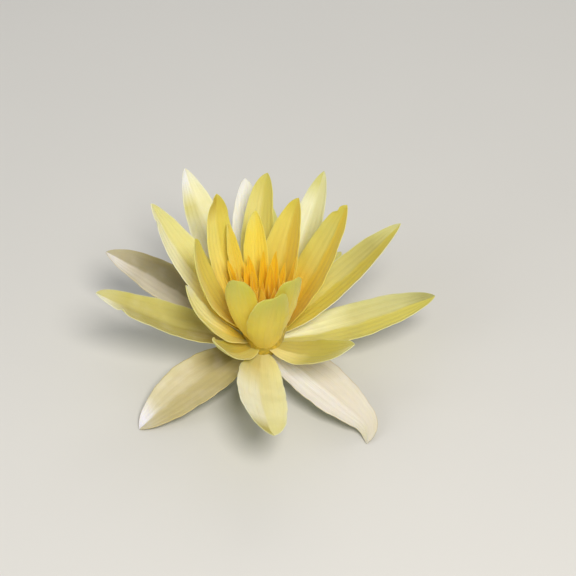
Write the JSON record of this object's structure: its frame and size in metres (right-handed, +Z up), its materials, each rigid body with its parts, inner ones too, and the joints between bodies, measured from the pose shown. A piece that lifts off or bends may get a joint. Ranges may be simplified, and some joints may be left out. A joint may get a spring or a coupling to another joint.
{
  "type": "water lily flower",
  "caption": "Open yellow water lily flower, picked with a short stalk stub: drooping sepals, rows of pointed cupped petals and a ring of orange stamens.",
  "frame": {"origin": "on the surface that the flower rests on, under the middle of its bounding box", "axes": "+Z up along the flower's axis from the cut stalk to the stamens; +X to the right as the open, low side of the flower is seen from the front; +Y towards the tall back petals"},
  "size_m": [0.1486, 0.1408, 0.0889],
  "materials": {
    "sepal": "satin",
    "outer": "satin",
    "middle": "satin",
    "inner": "satin",
    "core": "satin",
    "stamen": "satin",
    "receptacle": "satin",
    "stigma": "satin",
    "stalk": "satin"
  },
  "bodies": {
    "root": {"core_back": "core", "core_front": "core", "core_front_left": "core", "core_front_right": "core", "core_left": "core", "inner_back": "inner", "inner_back_left": "inner", "inner_back_right": "inner", "inner_left": "inner", "inner_right": "inner", "middle_back": "middle", "middle_back_left": "middle", "middle_back_right": "middle", "middle_front_left": "middle", "middle_left": "middle", "middle_right": "middle", "outer_back": "outer", "outer_back_left": "outer", "outer_back_right": "outer", "outer_front": "outer", "outer_left": "outer", "outer_right": "outer", "outer_small_left": "outer", "outer_small_right": "outer", "receptacle": "receptacle", "sepal_back": "sepal", "sepal_front_left": "sepal", "sepal_front_right": "sepal", "sepal_left": "sepal", "stalk": "stalk", "stamen_inner_01": "stamen", "stamen_inner_02": "stamen", "stamen_inner_03": "stamen", "stamen_inner_04": "stamen", "stamen_inner_05": "stamen", "stamen_inner_06": "stamen", "stamen_outer_01": "stamen", "stamen_outer_02": "stamen", "stamen_outer_03": "stamen", "stamen_outer_04": "stamen", "stamen_outer_05": "stamen", "stamen_outer_06": "stamen", "stamen_outer_07": "stamen", "stamen_outer_08": "stamen", "stigma": "stigma"}
  },
  "joints": []
}
